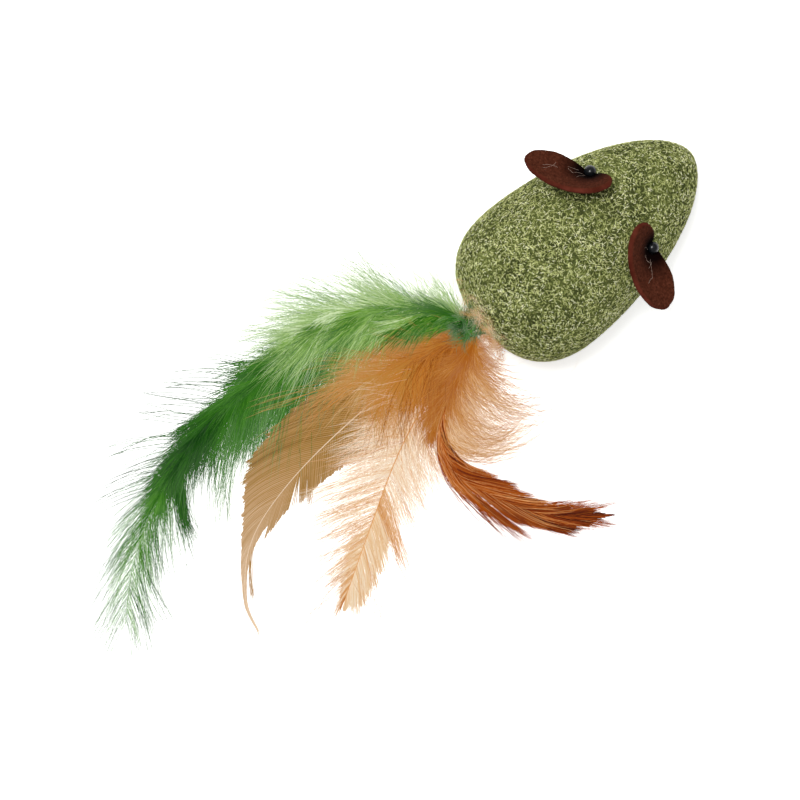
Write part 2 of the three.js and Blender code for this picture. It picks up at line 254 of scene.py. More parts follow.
def flakes(name, count, sink, paleness):
    """Lozenges with two tips, two edges and two faces, laid at random on the surface and tipped a little."""
    centre, normal = egg_frame(*scatter(count))
    turn = chance.uniform(0, 2 * np.pi, (count, 1))
    level = unit(np.cross(normal, chance.normal(size=(count, 3))))
    along = unit(np.cos(turn) * level + np.sin(turn) * np.cross(normal, level))
    along = unit(along + normal * chance.normal(0, FLAKE_PITCH, (count, 1)))
    edge = unit(np.cross(normal, along) + normal * chance.normal(0, FLAKE_ROLL, (count, 1)))
    face = np.cross(along, edge)
    length = chance.uniform(*FLAKE_LENGTH, (count, 1)) * chance.choice([0.7, 1, 1, 1.25], (count, 1))
    width = chance.uniform(*FLAKE_WIDTH, (count, 1))
    centre = centre + normal * (FLAKE_DEPTH / 2 - sink)
    skew = chance.uniform(-0.2, 0.2, (count, 1)) * length
    corners = [centre + along * length / 2, centre - along * length / 2]
    corners += [centre + edge * width / 2 + along * skew, centre - edge * width / 2 - along * skew]
    corners += [centre + face * FLAKE_DEPTH / 2, centre - face * FLAKE_DEPTH / 2]
    vertices = np.stack(corners, 1)
    vertices[..., 2] = np.maximum(vertices[..., 2], 0)
    lozenge = np.array([[0, 2, 4], [2, 1, 4], [1, 3, 4], [3, 0, 4],
                        [2, 0, 5], [1, 2, 5], [3, 1, 5], [0, 3, 5]])
    faces = (np.arange(count)[:, None, None] * 6 + lozenge).reshape(-1, 3)
    shade = np.clip(paleness + 0.15 * grain(centre, 6, 3) + chance.normal(0, 0.26, count), 0, 1)
    piece = place_piece(name, vertices, [faces], leaf_flake, "mouse", smooth=False, tint=np.repeat(shade, 6))


flakes("leaf_flakes_under", 24000, 0.1, 0.3)
flakes("leaf_flakes_over", 20000, 0.0, 0.66)


# The glue that holds the tail and the eyes: hot-melt glue, run into its holes and set.
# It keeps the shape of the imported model, and only its finish is given here.
# Set hot-melt glue: cloudy cream, smooth and waxy, with a soft gloss.
hot_glue, tree, shader = new_material("hot_melt_glue", Roughness=0.35, IOR=1.48)
place = add_node(tree, "ShaderNodeTexCoord").outputs["Object"]
cloud = add_node(tree, "ShaderNodeTexNoise", {"Vector": place}, Scale=400.0, Detail=2.0)
tree.links.new(ramp(tree, cloud.outputs["Fac"], {0.3: "d9d0b6", 0.7: "efe8d4"}), shader.inputs["Base Color"])


def coat(solid, material):
    """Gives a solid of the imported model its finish."""
    solid.data.materials.clear()
    solid.data.materials.append(material)


for glue in ("tail_glue", "eye_glue_left", "eye_glue_right"):
    coat(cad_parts[glue], hot_glue)


# The quills: the hollow horn stubs of the feathers, pushed into the glue while it was soft.
# Horn of a quill: translucent cream with fine lengthwise streaks and a satin surface.
quill_horn, tree, shader = new_material("quill_horn", Roughness=0.4, IOR=1.55)
place = add_node(tree, "ShaderNodeTexCoord").outputs["Object"]
stretched = add_node(tree, "ShaderNodeMapping", {"Vector": place}, Scale=(60.0, 2500.0, 2500.0))
streak = add_node(tree, "ShaderNodeTexNoise", {"Vector": stretched.outputs["Vector"]}, Scale=1.0, Detail=2.0)
tree.links.new(ramp(tree, streak.outputs["Fac"], {0.3: "c9ab7c", 0.7: "ead9bd"}), shader.inputs["Base Color"])
for name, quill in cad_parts.items():
    if name.endswith("_quill"):
        coat(quill, quill_horn)


# The long green feather: dyed marabou, soft down at its root and single hairlike barbs towards its tip.
# It is the lowest of the six, so the others lie over its root.
EXIT_X = -23.45  # where every shaft leaves its quill
COLUMN = 0.9  # from the middle line to either column of quills
MIDDLE_LAYER = 2.5
LAYER_PITCH = 1.5  # between the layers at their exits
LAYER_SPREAD = 0.004  # growth of that with the reach
TAIL_DROOP = 7  # at the longest reach
LONGEST_REACH = 106
QUILL_GAP = 0.3
LINE_SPACING = 0.72  # between the fine lines across a closed vane
ROOT_SHARE = 0.4  # the part of its sway and fray that a barb has from its root on
RISE_SHARE = 0.5  # the part of them by which it also rises or falls on its way
FOLLOWING = 0.9  # the part of its length over which it bends along with the line
LENGTH_LIMITS = (0.3, 1.8)
STRAND_BREADTH = 1.3  # across, in its radii
STRAND_THICKNESS = 0.5  # upwards, in its radii
LOWEST_STRAND = 0.2  # over the table
UPWARD = np.array([0.0, 0.0, 1.0])


def feather_line(layer, path):
    """A shaft's line: a smooth curve through plan points behind the tail end, laid on its layer's cone.
    Gives the distances along it, its course there as x, y and heading from above, and its exit."""
    exit_z = AXIS_Z + (layer - MIDDLE_LAYER) * LAYER_PITCH
    leaves = np.array([EXIT_X, COLUMN * (1 if layer % 2 == 0 else -1), exit_z])
    points = np.array([leaves[:2], *[(TAIL_X - behind, left) for behind, left in path]])
    part = np.linspace(0, len(points) - 1, 900)
    first = np.minimum(part.astype(int), len(points) - 2)
    t = (part - first)[:, None]
    p0, p1, p2, p3 = (points[np.clip(first + k, 0, len(points) - 1)] for k in (-1, 0, 1, 2))
    v0, v1 = (p2 - p0) / 2, (p3 - p1) / 2
    plan = (2 * p1 - 2 * p2 + v0 + v1) * t**3 + (3 * p2 - 3 * p1 - 2 * v0 - v1) * t**2 + v0 * t + p1
    step = np.diff(plan, axis=0)
    along = np.concatenate([[0], np.cumsum(np.linalg.norm(step, axis=1))])
    heading = np.unwrap(np.arctan2(*np.gradient(plan, axis=0).T[::-1]))
    return {"along": along, "course": [*plan.T, heading], "exit": leaves}


def layer_height(line, x, y):
    """The height of a feather's cone: its exit's, a slow spread of the layers, and a droop with the square
    of the reach."""
    reach = np.hypot(x - line["exit"][0], y - line["exit"][1])
    offset = (line["exit"][2] - AXIS_Z) * (1 + LAYER_SPREAD * reach)
    return AXIS_Z + offset - TAIL_DROOP * (reach / LONGEST_REACH) ** 2


def on_line(line, distance):
    """Plan point and heading of a feather's line at distances along it."""
    return [np.interp(distance, line["along"], values) for values in line["course"]]


def along_line(distance, stops):
    """Values at distances along a line, from stops of {distance: value or values}, a column for each."""
    values = np.array([np.atleast_1d(value) for value in stops.values()], float)
    return np.stack([np.interp(distance, list(stops), column) for column in values.T], -1)


def strands(paths, radii, shade, fade=1.0, pointed=True):
    """Closed three-sided prisms along paths, as (vertices, faces, normals, marks). Each is wider than thick,
    with a radius for each point, and ends in a point or a small face. The normals all point up from the
    strand, because thin down passes light on in every direction, so a mass of it has no dark flanks."""
    count, points = paths.shape[:2]
    forward = unit(np.gradient(paths, axis=1))
    sideways = unit(np.cross(forward, UPWARD))
    over = np.cross(sideways, forward)
    ring = [sideways * STRAND_BREADTH * np.cos(a) + over * STRAND_THICKNESS * np.sin(a)
            for a in np.radians([90, 210, 330])]
    vertices = (paths[:, :, None] + np.stack(ring, 2) * radii[:, :, None, None]).reshape(count, -1, 3)
    normals = np.repeat(over, 3, 1)
    along = np.repeat(np.linspace(0, fade, points), 3)
    if pointed:
        vertices = np.concatenate([vertices[:, :-3], paths[:, -1:]], 1)
        normals, along = normals[:, :-2], along[:-2]
    corner = np.arange(3)
    after = (corner + 1) % 3
    root = np.arange(count)[:, None] * vertices.shape[1]
    here = root[..., None] + np.arange(points - 1 - pointed)[:, None] * 3
    sides = np.stack([here + corner, here + 3 + corner, here + 3 + after, here + after], -1)
    faces = [sides.reshape(-1, 4), root + [0, 1, 2]]
    last = root + (points - 1 - pointed) * 3
    if pointed:
        faces.append(np.stack([last + corner, last + 3 + 0 * corner, last + after], -1).reshape(-1, 3))
    else:
        faces.append(last + [0, 2, 1])
    marks = {"tint": np.repeat(shade, vertices.shape[1]), "along": np.tile(along, count)}
    return vertices.reshape(-1, 3), faces, normals.reshape(-1, 3), marks


def join(parts):
    """Several sets of (vertices, faces, normals, marks) as one, with the faces' numbers moved on."""
    vertices, faces, normals, marks = zip(*parts)
    before = np.cumsum([0] + [len(points) for points in vertices])
    faces = [rows + shift for group, shift in zip(faces, before) for rows in group]
    marks = {mark: np.concatenate([given[mark] for given in marks]) for mark in marks[0]}
    return np.concatenate(vertices), faces, np.concatenate(normals), marks


def barbs(line, count, side, length, spread, width, tip=0.03, blunt=1.0, steps=4, above=0.0, lift=0,
          locks=30, gather=0.1, sway=10, fray=2, uneven=0.3, tint=0.45, mottle=0.1, fade=1.0, lines=0.0):
    """Barbs along a stretch of a feather's line, which bend with it, as closed tapering prisms.
    side is 1 or -1, or 0 for both. length gives stops of {distance: mm}, and spread stops of {distance:
    (angle from the shaft at the barb's root, angle at its tip)}. Barbs hang in locks, which sway, rise and
    differ as one; gather draws the tips to the lock's middle, and fray is each barb's own disorder. Angles
    are in degrees. above is a height over the shaft and lift a pitch. A blunt barb stays wide to its tip.
    tint picks the dye's shade, and mottle is its disorder. fade is how far the barbs pale at their tips,
    and lines is the depth of the fine lines across a closed vane."""
    start, *_, end = length
    share = (np.arange(count) + chance.uniform(0, 1, count)) / count
    sides = np.full(count, float(side)) if side else chance.choice([-1.0, 1.0], count)
    lock = np.clip(share * locks + chance.normal(0, 0.2, count), 0, locks - 1).astype(int)
    distance = start + share * (end - start)
    common = chance.normal(0, 1, (2 * locks, 4 + 2 * steps))[lock * 2 + (sides > 0)]
    own = chance.normal(0, 1, (count, 4 + 2 * steps))
    part = (np.arange(steps) + 0.5) / steps
    angles = along_line(distance, spread)
    wander = np.cumsum(common[:, 4:4 + steps] * sway + own[:, 4:4 + steps] * fray, 1) / steps**0.5
    opening = angles[:, :1] * (1 - part) + angles[:, 1:] * part + wander
    opening = opening + ROOT_SHARE * (common[:, 1:2] * sway + own[:, 1:2] * fray)
    rise = np.cumsum(common[:, 4 + steps:] * sway + own[:, 4 + steps:] * fray, 1) / steps**0.5
    root_pitch = common[:, 2:3] * sway + own[:, 2:3] * fray
    pitch = np.radians(lift + RISE_SHARE * rise + ROOT_SHARE * root_pitch)
    x, y, heading = on_line(line, distance)
    stretch = np.clip(1 + uneven * (common[:, 0] + 0.6 * own[:, 0]), *LENGTH_LIMITS)
    size = along_line(distance, length)[:, 0] * stretch
    heading = on_line(line, distance[:, None] + FOLLOWING * size[:, None] * part)[2]
    turn = heading + np.radians(opening) * sides[:, None]
    stride = size[:, None] / steps
    moves = np.stack([np.cos(turn) * np.cos(pitch), np.sin(turn) * np.cos(pitch), np.sin(pitch)]) * stride
    walk = np.concatenate([np.zeros((3, count, 1)), np.cumsum(moves, 2)], 2)
    middle = on_line(line, start + (lock + 0.5) / locks * (end - start))
    pull = gather * np.linspace(0, 1, steps + 1) ** 1.5
    px = x[:, None] + walk[0] + (middle[0] - x)[:, None] * pull
    py = y[:, None] + walk[1] + (middle[1] - y)[:, None] * pull
    pz = layer_height(line, px, py) + walk[2] + above
    radius = width / 2 + (tip - width / 2) * np.linspace(0, 1, steps + 1) ** blunt + np.zeros((count, 1))
    shade = along_line(distance, tint)[:, 0] if isinstance(tint, dict) else tint
    shade = shade + lines * np.sin(2 * np.pi * distance / LINE_SPACING)
    shade = np.clip(shade + mottle * (0.7 * common[:, 3] + own[:, 3]), 0, 1)
    paths = np.stack([px, py, np.maximum(pz, LOWEST_STRAND)], -1)
    return strands(paths, radius, shade, fade, pointed=blunt == 1)


def shaft(line, root, tip, tint, rings=90, sides=8):
    """The feather's shaft: a round tapering rod on its line, closed at both ends, with a shade at its root
    and at its tip."""
    distance = np.linspace(0, line["along"][-1], rings)
    x, y, _ = on_line(line, distance)
    centre = np.stack([x, y, layer_height(line, x, y)], -1)
    forward = unit(np.gradient(centre, axis=0))
    sideways = unit(np.cross(forward, UPWARD))
    over = np.cross(sideways, forward)
    radius = (root + (tip - root) * np.linspace(0, 1, rings) ** 0.6)[:, None, None]
    angle = np.linspace(0, 2 * np.pi, sides, endpoint=False)[:, None]
    ring = sideways[:, None] * np.cos(angle) - over[:, None] * np.sin(angle)
    ends = centre[[0, -1]] + forward[[0, -1]] * [[-QUILL_GAP], [tip]]
    vertices = np.concatenate([ends[:1], (centre[:, None] + ring * radius).reshape(-1, 3), ends[1:]])
    normals = np.concatenate([-forward[:1], ring.reshape(-1, 3), forward[-1:]])
    pale = np.linspace(*np.broadcast_to(tint, 2), rings)
    shade = np.concatenate([pale[:1], np.repeat(pale, sides), pale[-1:]])
    return vertices, closed_grid(rings, sides, True), normals, {"tint": shade, "along": 0 * shade}


def dyed_feather(name, colours, pale, gloss=0.85, shine=0.03, through=0.1):
    """Dyed feather: each barb has a shade of its own, pales towards its tip, and lets some light through."""
    made, tree, shader = new_material(name, Roughness=gloss, Specular_IOR_Level=shine)
    tint, along = (add_node(tree, "ShaderNodeAttribute", attribute_name=mark).outputs["Fac"]
                   for mark in ("tint", "along"))
    fade = add_node(tree, "ShaderNodeMath", {0: along, 1: along}, operation="MULTIPLY")
    faded = add_node(tree, "ShaderNodeMath", {0: fade.outputs[0]}, operation="MULTIPLY")
    faded.inputs[1].default_value = pale[0]
    mix = add_node(tree, "ShaderNodeMix", {"Factor": faded.outputs[0]}, data_type="RGBA")
    tree.links.new(ramp(tree, tint, colours), mix.inputs[6])
    mix.inputs[7].default_value = linear(pale[1])
    colour = mix.outputs[2]
    tree.links.new(colour, shader.inputs["Base Color"])
    glow = add_node(tree, "ShaderNodeBsdfTranslucent", {"Color": colour})
    both = add_node(tree, "ShaderNodeMixShader", {1: shader.outputs[0], 2: glow.outputs[0]}, Fac=through)
    tree.links.new(both.outputs[0], tree.nodes["Material Output"].inputs["Surface"])
    return made


def feather_piece(name, parts, material, body, replaced=()):
    """One piece of a feather from its shaft and barbs, riding on that feather.
    The feathers let so much light by that none of them leaves a shadow."""
    vertices, faces, normals, marks = join(parts)
    piece = place_piece(name, vertices, faces, material, body, replaced, normals=normals, **marks)
    piece.visible_shadow = False


# Green-dyed marabou: strong leaf green, nearly black-green where it is dense, greyer at its loose ends.
green_down = dyed_feather("green_dyed_marabou", {0.0: "083c04", 0.3: "2c6a10", 0.6: "58962c", 1.0: "b8d6a0"},
                          (0.45, "b4cca8"))
chance = np.random.default_rng(11)
green_line = feather_line(0, [(7, 8), (20, 17), (40, 21.6), (60, 21.4), (78, 16.2), (93, 7.8), (104, -2.5)])
grow = partial(barbs, green_line, locks=44, sway=7, fray=6, tint=0.12, fade=0.5)
feather_piece("green_long_down", [
    grow(560, 0, {12: 9, 46: 10, 62: 9, 80: 6}, {12: (22, 26), 62: (16, 14), 80: (12, 10)}, 0.24, above=-0.2,
         sway=9, fray=9, tint={12: 0.3, 56: 0.28, 66: 0.02, 76: 0.06, 84: 0.35}, fade=0.2),
    grow(2500, -1, {8: 8, 36: 7.5, 48: 6.5, 58: 7.5, 74: 8, 86: 5}, {8: (34, 26), 60: (26, 12),
         86: (20, 10)}, 0.075, above=0.3, gather=0.3, fray=7, uneven=0.36, tint={8: 0.35, 58: 0.32, 70: 0.12,
         84: 0.45}),
    grow(2900, 1, {8: 9, 24: 16, 44: 18, 54: 14, 64: 12, 74: 9, 86: 5}, {8: (38, 32), 44: (42, 38),
         56: (28, 20), 86: (20, 10)}, 0.075, above=0.3, gather=0.3, fray=7, uneven=0.36, tint={8: 0.35,
         54: 0.32, 66: 0.05, 76: 0.12, 86: 0.45}),
    grow(700, 1, {24: 17, 46: 17, 58: 10}, {24: (42, 40), 46: (44, 42), 58: (34, 28)}, 0.08, locks=100,
         gather=0, sway=5, fray=8, tint=0.28, fade=1.0),
    grow(360, 1, {36: 20, 48: 22, 60: 18}, {36: (38, 36), 60: (34, 26)}, 0.045, locks=14, gather=0.6, fray=4,
         tint=0.4, fade=1.0),
    grow(220, 1, {75: 16, 80: 17}, {75: (31, 44), 80: (29, 46)}, 0.08, locks=1, gather=0.9, sway=2, fray=4,
         fade=0.4),
    grow(60, -1, {46: 15, 62: 20, 84: 17}, {46: (50, 44), 62: (58, 52), 84: (50, 36)}, 0.11, tip=0.04,
         steps=6, locks=22, gather=0.35, sway=6, fray=4, uneven=0.1),
    grow(900, 0, {20: 12, 60: 11, 84: 8}, {20: (2, 12), 84: (2, 10)}, 0.07, above=0.8, locks=34, gather=0.4,
         sway=9, tint={20: 0.35, 58: 0.3, 68: 0.0, 76: 0.06, 84: 0.45}),
], green_down, "green_long_feather")
feather_piece("green_long_barbs", [
    shaft(green_line, 0.3, 0.04, [0.4, 0.8]),
    *(grow(300, side, {66: 12, 80: 17, 96: 19, 106: 15, 115: 9}, {66: root, 84: (31, 19), 98: (28, 20),
           108: (32, 20), 115: (26, 10)}, 0.036, tip=0.014, steps=5, locks=120, sway=4, fray=5,
           uneven=0.25, tint={66: 0.25, 90: 0.15, 115: 0.2}, mottle=0.2, fade=0.45)
      for side, root in ((-1, (34, 20)), (1, (36, 22)))),
    grow(320, 0, {78: 9, 88: 11, 98: 8}, {78: (24, 14), 98: (24, 12)}, 0.045, locks=60, gather=0.15, sway=5,
         fray=5, uneven=0.4, tint={78: 0.25, 98: 0.5}, fade=0.6),
    grow(320, 0, {70: 12, 86: 12, 113: 8}, {70: (28, 16)}, 0.03, above=0.2, locks=70,
         gather=0.15, sway=5, uneven=0.4, tint={70: 0.3, 84: 0.5, 96: 0.85}, fade=1.0),
    grow(70, 1, {60: 22, 90: 20, 108: 12}, {60: (36, 26), 90: (36, 26), 108: (26, 18)}, 0.08, steps=6,
         locks=24, gather=0.2, uneven=0.2, tint=0.2),
    grow(260, 1, {30: 17, 56: 16}, {30: (40, 36), 56: (36, 32)}, 0.24, above=-0.3, locks=30, sway=6,
         uneven=0.25, tint=0.3, fade=0.3),
], green_down, "green_long_feather", ["green_long_feather"])


# The tan feather: a stiff cut body feather with a closed vane, which has split in two places. Its barbs
# hook together, so the vane is one thin leaf with fine slanting lines, and its tip is a single thin curl.
# Tan-dyed vane: satin brown-tan with fine darker lines and a pale shaft.
tan_vane = dyed_feather("tan_dyed_vane", {0.0: "6a4c1c", 0.35: "a47c3c", 0.65: "c09a6e", 1.0: "eed9be"},
                        (0.1, "dcc09c"), 0.7, 0.06)
chance = np.random.default_rng(12)
tan_line = feather_line(1, [(21, 1.8), (45, 1.1), (62, -1.9), (72, -6.6), (79, -14.5), (81, -21)])
tan_shades = {15: 0.2, 40: 0.36, 55: 0.55, 70: 0.72, 89: 0.95}
grow = partial(barbs, tan_line, steps=5, locks=134, gather=0, sway=0.3, uneven=0.02, tint=tan_shades)
feather_piece("tan_feather_vane", [
    shaft(tan_line, 0.24, 0.05, 1.0),
    grow(1000, -1, {15: 16, 26: 22, 36: 22, 44: 18, 52: 13, 60: 8.5, 68: 5, 76: 3, 89: 2}, {15: (42, 22),
         50: (34, 14), 68: (22, 8), 89: (8, 4)}, 0.18, tip=0.06, blunt=3, fray=0.4, mottle=0.04, lines=0.16),
    grow(260, -1, {16: 15, 26: 21, 36: 21, 44: 17, 52: 12, 60: 8}, {16: (41, 23), 50: (34, 14),
         60: (28, 11)}, 0.5, tip=0.1, blunt=3, above=-0.15, locks=60, sway=0.2, fray=0.2, mottle=0.04),
    grow(760, 1, {15: 14, 28: 12, 34: 10, 42: 8.2, 50: 7.3, 50.5: 8.5, 57.5: 10, 58.2: 5.5, 65: 4.5, 72: 3,
         80: 2, 89: 1.5}, {15: (48, 40), 42: (44, 34), 50: (42, 40), 50.5: (26, 22), 57.5: (18, 12),
         58.2: (22, 16), 70: (16, 8), 89: (6, 4)}, 0.17, tip=0.05, blunt=3, fray=0.4, mottle=0.04,
         lines=0.16),
    grow(60, 1, {45: 12, 50: 9}, {45: (44, 34), 50: (40, 30)}, 0.06, steps=4, locks=2, gather=0.9, sway=2,
         uneven=0.12, tint=0.35),
    grow(22, 1, {66: 16, 70: 14}, {66: (14, 2), 70: (10, 0)}, 0.06, steps=6, locks=1, gather=0.8, sway=3,
         uneven=0.12, tint=0.5),
], tan_vane, "tan_feather", ["tan_feather"])


# The peach feather: a soft body feather, downy at its root, loose in the middle and closed at its tip.
# Peach-dyed feather: pale peach, with a warmer orange in the clumped barbs.
peach_vane = dyed_feather("peach_dyed_vane", {0.0: "b0662c", 0.35: "dba062", 0.7: "ecd0a8", 1.0: "f8ecdc"},
                          (0.5, "f9eee2"))
chance = np.random.default_rng(13)
peach_line = feather_line(2, [(12.5, -2.7), (31, -10), (48, -19.7), (62, -28.2)])
grow = partial(barbs, peach_line, gather=0.3, tint=0.55)
feather_piece("peach_feather_vane", [
    shaft(peach_line, 0.2, 0.06, 0.35),
    grow(1000, -1, {24: 13, 35: 15, 44: 13, 52: 9, 60: 6, 67: 3}, {24: (60, 50), 45: (54, 44), 60: (36, 26),
         67: (14, 6)}, 0.036, locks=70, sway=6, fray=5, mottle=0.18),
    grow(480, 1, {24: 11, 33: 13, 40: 9, 46: 8}, {24: (52, 44), 46: (44, 38)}, 0.036, locks=36, sway=6,
         fray=5, mottle=0.18),
    grow(620, 1, {44: 8, 50: 9.5, 60: 8, 67: 2.5}, {44: (42, 34), 60: (32, 20), 67: (10, 4)}, 0.085,
         tip=0.04, blunt=2, steps=3, locks=90, gather=0.05, sway=1.6, uneven=0.1, tint=0.7, fade=0.3),
    grow(300, -1, {50: 6, 60: 4.5, 67: 2.5}, {50: (40, 30), 60: (32, 22), 67: (10, 4)}, 0.07, tip=0.04,
         blunt=2, steps=3, gather=0.15, sway=3, uneven=0.1, tint={50: 0.6, 60: 0.5, 67: 0.15}, fade=0.3),
    grow(60, 1, {41: 15, 46: 17}, {41: (44, 38)}, 0.05, above=0.5, locks=2, gather=0.85,
         sway=2, fray=3, uneven=0.25, tint=0.3, fade=0.5),
    grow(120, 0, {26: 18, 64: 13}, {26: (50, 42), 64: (40, 30)}, 0.03, steps=6, gather=0.2, sway=8, fray=6,
         tint=0.3, mottle=0.2, fade=0.4),
    grow(2200, 0, {2: 8, 14: 11, 28: 11, 38: 8}, {2: (60, 50), 38: (46, 36)}, 0.036, locks=70, gather=0.25,
         fray=12, uneven=0.5, tint={2: 0.25, 14: 0.6, 22: 0.85, 38: 0.9}, mottle=0.12),
], peach_vane, "peach_feather", ["peach_feather"])


# The orange plume: a tuft of turkey down, dense and soft, which covers the roots of the feathers under it.
# Orange-dyed down: warm orange-tan, paler where it is thin.
orange_down = dyed_feather("orange_dyed_down", {0.0: "864408", 0.3: "c27a28", 0.65: "b88c42", 1.0: "e6cba0"},
                           (0.35, "e6c8a0"))
chance = np.random.default_rng(14)
orange_line = feather_line(3, [(10, 1.9), (20, 4.4), (29, 6.6), (39, 7.2)])
grow = partial(barbs, orange_line, gather=0.2, fray=12, uneven=0.4)
feather_piece("orange_plume_down", [
    shaft(orange_line, 0.26, 0.06, 0.3),
    grow(1500, -1, {1: 5, 8: 8, 16: 8}, {1: (50, 42), 16: (40, 30)}, 0.065, locks=24, gather=0.3, fray=11,
         uneven=0.38, tint={1: 0.2, 18: 0.4}),
    grow(700, -1, {6: 9, 18: 10, 26: 7}, {6: (44, 38), 18: (40, 30), 26: (24, 14)}, 0.03, above=-0.2,
         lift=-1, locks=50, tint={4: 0.4, 34: 0.65}),
    grow(2200, 1, {1: 13, 8: 12, 14: 9, 19: 6}, {1: (40, 66), 10: (50, 66), 19: (46, 50)}, 0.085, above=0.3,
         lift=2, locks=34, uneven=0.34, tint={1: 0.14, 12: 0.3, 19: 0.5}, fade=0.4),
    grow(900, 1, {3: 9, 18: 7}, {3: (50, 64), 18: (50, 56)}, 0.075, above=0.5, lift=2, locks=34, gather=0.25,
         fray=13, tint={3: 0.2, 18: 0.4}, fade=0.4),
    grow(1000, 1, {4: 18, 18: 15, 26: 9}, {4: (44, 60), 18: (48, 62), 26: (44, 58)}, 0.026, locks=60,
         gather=0.15, fray=14, uneven=0.45, tint={10: 0.3, 34: 0.5}, fade=0.8),
    grow(420, 0, {16: 11, 28: 8}, {16: (32, 22), 28: (22, 12)}, 0.03, above=0.3, lift=2, locks=40,
         tint={16: 0.4, 28: 0.7}),
    grow(600, 0, {1: 11, 18: 8}, {1: (4, 18), 18: (2, 10)}, 0.06, above=1.0, lift=2, locks=20, gather=0.35,
         sway=13, fray=9, uneven=0.35, tint={1: 0.12, 18: 0.4}, fade=0.6),
    grow(80, 1, {3: 16, 17: 16}, {3: (48, 60), 17: (46, 56)}, 0.06, steps=7, above=0.9, locks=16, gather=0.8,
         sway=14, fray=7, uneven=0.3, tint=0.0, mottle=0.05, fade=0.1),
    grow(180, -1, {14: 13, 28: 17}, {14: (28, 14), 28: (16, 4)}, 0.032, steps=6, above=0.4, gather=0.3,
         sway=9, fray=9, uneven=0.35),
], orange_down, "orange_plume", ["orange_plume"])


# The short green plume: marabou down, which lies over the long green feather's root.
# It is dyed with the same green, and its loose ends have taken less of it.
plume_dye = {0.0: "246008", 0.3: "66992c", 0.65: "aeca78", 1.0: "e2efcc"}
short_green_down = dyed_feather("light_green_dyed_marabou", plume_dye, (0.7, "e2edd2"))
chance = np.random.default_rng(15)
plume_line = feather_line(4, [(5, 7), (10, 12.5), (18, 18.5), (28, 22.8), (37, 24.4)])
grow = partial(barbs, plume_line, fray=10)
feather_piece("green_short_plume_down", [
    shaft(plume_line, 0.26, 0.06, 0.2),
    grow(260, 1, {1: 8, 16: 11}, {1: (40, 32), 16: (32, 22)}, 0.22, locks=16, tint={1: 0.05, 16: 0.12},
         fade=0.2),
    grow(600, 1, {1: 9, 20: 11, 36: 7}, {1: (36, 28), 20: (26, 20), 36: (16, 12)}, 0.22, tint={1: 0.12,
         16: 0.08, 32: 0.14, 36: 0.35}, mottle=0.12, fade=0.3),
    grow(1900, -1, {1: 4, 10: 6, 25: 8, 40: 8}, {1: (44, 34), 14: (26, 18), 30: (18, 10), 40: (10, 2)}, 0.07,
         above=0.3, lift=3, locks=20, gather=0.4, sway=13, uneven=0.4, tint={1: 0.34, 12: 0.58, 20: 0.74,
         40: 0.78}, mottle=0.24, fade=0.8),
    grow(3000, 1, {1: 5, 10: 10, 25: 12, 40: 9}, {1: (42, 30), 20: (36, 28), 40: (16, 6)}, 0.07, above=0.3,
         lift=3, locks=20, gather=0.45, sway=14, fray=9, uneven=0.4, tint={1: 0.1, 16: 0.1, 31: 0.16,
         40: 0.38}, mottle=0.24, fade=0.4),
    grow(1000, 0, {1: 9, 38: 8}, {1: (4, 14), 38: (2, 6)}, 0.065, above=1.0, lift=2, gather=0.3, fray=9,
         uneven=0.35, tint={1: 0.0, 14: 0.15, 22: 0.34, 38: 0.4}, fade=0.5),
    grow(1300, -1, {1: 8, 20: 13, 40: 13}, {1: (62, 56), 20: (46, 38), 40: (24, 14)}, 0.026, above=0.4,
         locks=60, gather=0.2, fray=13, uneven=0.45, mottle=0.2),
    grow(600, 1, {20: 13, 40: 13}, {20: (40, 32), 40: (18, 6)}, 0.026, above=0.4, locks=40, gather=0.2,
         fray=13, uneven=0.45, mottle=0.2, fade=0.6),
], short_green_down, "green_short_plume", ["green_short_plume"])


